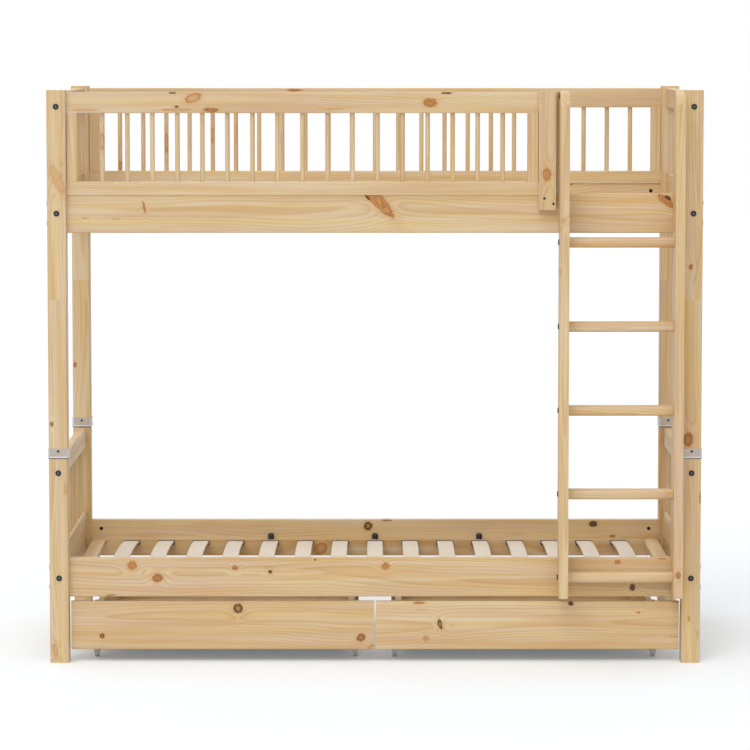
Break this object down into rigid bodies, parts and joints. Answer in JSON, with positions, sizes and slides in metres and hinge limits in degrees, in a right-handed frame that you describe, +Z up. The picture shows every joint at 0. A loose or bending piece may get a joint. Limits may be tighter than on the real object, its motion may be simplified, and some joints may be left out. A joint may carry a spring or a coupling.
{
  "type": "bunk bed with drawers",
  "caption": "Solid pine bunk bed with turned-spindle ends and guard rails, a fixed ladder at the right, sprung slatted bases and roll-out drawers under the lower bed.",
  "frame": {"origin": "centre of the bounding box in plan, on the floor under the posts", "axes": "+X to the right along the bed, seen from the front; the front with the ladder and the drawers faces -Y; +Z up"},
  "size_m": [2.091, 1.116, 1.834],
  "materials": {
    "pine": "clear matt lacquer",
    "pine_inside": "plain planed",
    "birch": "laminated, matt",
    "zinc": "zinc plated",
    "wheel_plastic": "moulded",
    "dark_steel": "black passivated",
    "cap_plastic": "moulded",
    "peg_plastic": "moulded",
    "plywood": "sanded"
  },
  "bodies": {
    "frame": {"end_panel_lower_left": "pine", "end_panel_lower_right": "pine", "end_panel_upper_left": "pine", "end_panel_upper_right": "pine", "end_slat_lower_left": "pine_inside", "end_slat_lower_right": "pine_inside", "end_slat_upper_left": "pine_inside", "end_slat_upper_right": "pine_inside", "entrance_newel": "pine", "front_guard": "pine", "ladder_rung_1": "pine", "ladder_rung_2": "pine", "ladder_rung_3": "pine", "ladder_rung_4": "pine", "ladder_rung_5": "pine", "ladder_stile_left": "pine", "ladder_stile_right": "pine", "leg_extension_front_left": "pine", "leg_extension_front_right": "pine", "leg_extension_rear_left": "pine", "leg_extension_rear_right": "pine", "post_coupling_front_left": "zinc", "post_coupling_front_right": "zinc", "post_coupling_rear_left": "zinc", "post_coupling_rear_right": "zinc", "post_lower_front_left": "pine", "post_lower_front_right": "pine", "post_lower_rear_left": "pine", "post_lower_rear_right": "pine", "post_upper_front_left": "pine", "post_upper_front_right": "pine", "post_upper_rear_left": "pine", "post_upper_rear_right": "pine", "rear_guard": "pine", "side_rail_lower_front": "pine", "side_rail_lower_rear": "pine", "side_rail_upper_front": "pine", "side_rail_upper_rear": "pine", "slatted_base_lower": "birch", "slatted_base_upper": "birch"},
    "drawer_left": {"drawer_left_back": "pine", "drawer_left_floor": "plywood", "drawer_left_front": "pine", "drawer_left_side_inner": "pine", "drawer_left_side_outer": "pine"},
    "drawer_left_wheel_inner_front": {"drawer_left_wheel_inner_front": "wheel_plastic"},
    "drawer_left_wheel_inner_rear": {"drawer_left_wheel_inner_rear": "wheel_plastic"},
    "drawer_left_wheel_outer_front": {"drawer_left_wheel_outer_front": "wheel_plastic"},
    "drawer_left_wheel_outer_rear": {"drawer_left_wheel_outer_rear": "wheel_plastic"},
    "drawer_right": {"drawer_right_back": "pine", "drawer_right_floor": "plywood", "drawer_right_front": "pine", "drawer_right_side_inner": "pine", "drawer_right_side_outer": "pine"},
    "drawer_right_wheel_inner_front": {"drawer_right_wheel_inner_front": "wheel_plastic"},
    "drawer_right_wheel_inner_rear": {"drawer_right_wheel_inner_rear": "wheel_plastic"},
    "drawer_right_wheel_outer_front": {"drawer_right_wheel_outer_front": "wheel_plastic"},
    "drawer_right_wheel_outer_rear": {"drawer_right_wheel_outer_rear": "wheel_plastic"}
  },
  "joints": [
    {"name": "drawer_left_roll_out", "type": "slide", "parent": "frame", "child": "drawer_left", "axis": [0, -1, 0], "range_m": [0, 0.88]},
    {"name": "drawer_left_wheel_inner_front_spin", "type": "hinge", "parent": "drawer_left", "child": "drawer_left_wheel_inner_front", "pos_m": [-0.0636, -0.332, 0.025], "axis": [1, 0, 0], "continuous": true},
    {"name": "drawer_left_wheel_inner_rear_spin", "type": "hinge", "parent": "drawer_left", "child": "drawer_left_wheel_inner_rear", "pos_m": [-0.0636, 0.356, 0.025], "axis": [1, 0, 0], "continuous": true},
    {"name": "drawer_left_wheel_outer_front_spin", "type": "hinge", "parent": "drawer_left", "child": "drawer_left_wheel_outer_front", "pos_m": [-0.9004, -0.332, 0.025], "axis": [1, 0, 0], "continuous": true},
    {"name": "drawer_left_wheel_outer_rear_spin", "type": "hinge", "parent": "drawer_left", "child": "drawer_left_wheel_outer_rear", "pos_m": [-0.9004, 0.356, 0.025], "axis": [1, 0, 0], "continuous": true},
    {"name": "drawer_right_roll_out", "type": "slide", "parent": "frame", "child": "drawer_right", "axis": [0, -1, 0], "range_m": [0, 0.88]},
    {"name": "drawer_right_wheel_inner_front_spin", "type": "hinge", "parent": "drawer_right", "child": "drawer_right_wheel_inner_front", "pos_m": [0.0636, -0.332, 0.025], "axis": [1, 0, 0], "continuous": true},
    {"name": "drawer_right_wheel_inner_rear_spin", "type": "hinge", "parent": "drawer_right", "child": "drawer_right_wheel_inner_rear", "pos_m": [0.0636, 0.356, 0.025], "axis": [1, 0, 0], "continuous": true},
    {"name": "drawer_right_wheel_outer_front_spin", "type": "hinge", "parent": "drawer_right", "child": "drawer_right_wheel_outer_front", "pos_m": [0.9004, -0.332, 0.025], "axis": [1, 0, 0], "continuous": true},
    {"name": "drawer_right_wheel_outer_rear_spin", "type": "hinge", "parent": "drawer_right", "child": "drawer_right_wheel_outer_rear", "pos_m": [0.9004, 0.356, 0.025], "axis": [1, 0, 0], "continuous": true}
  ]
}
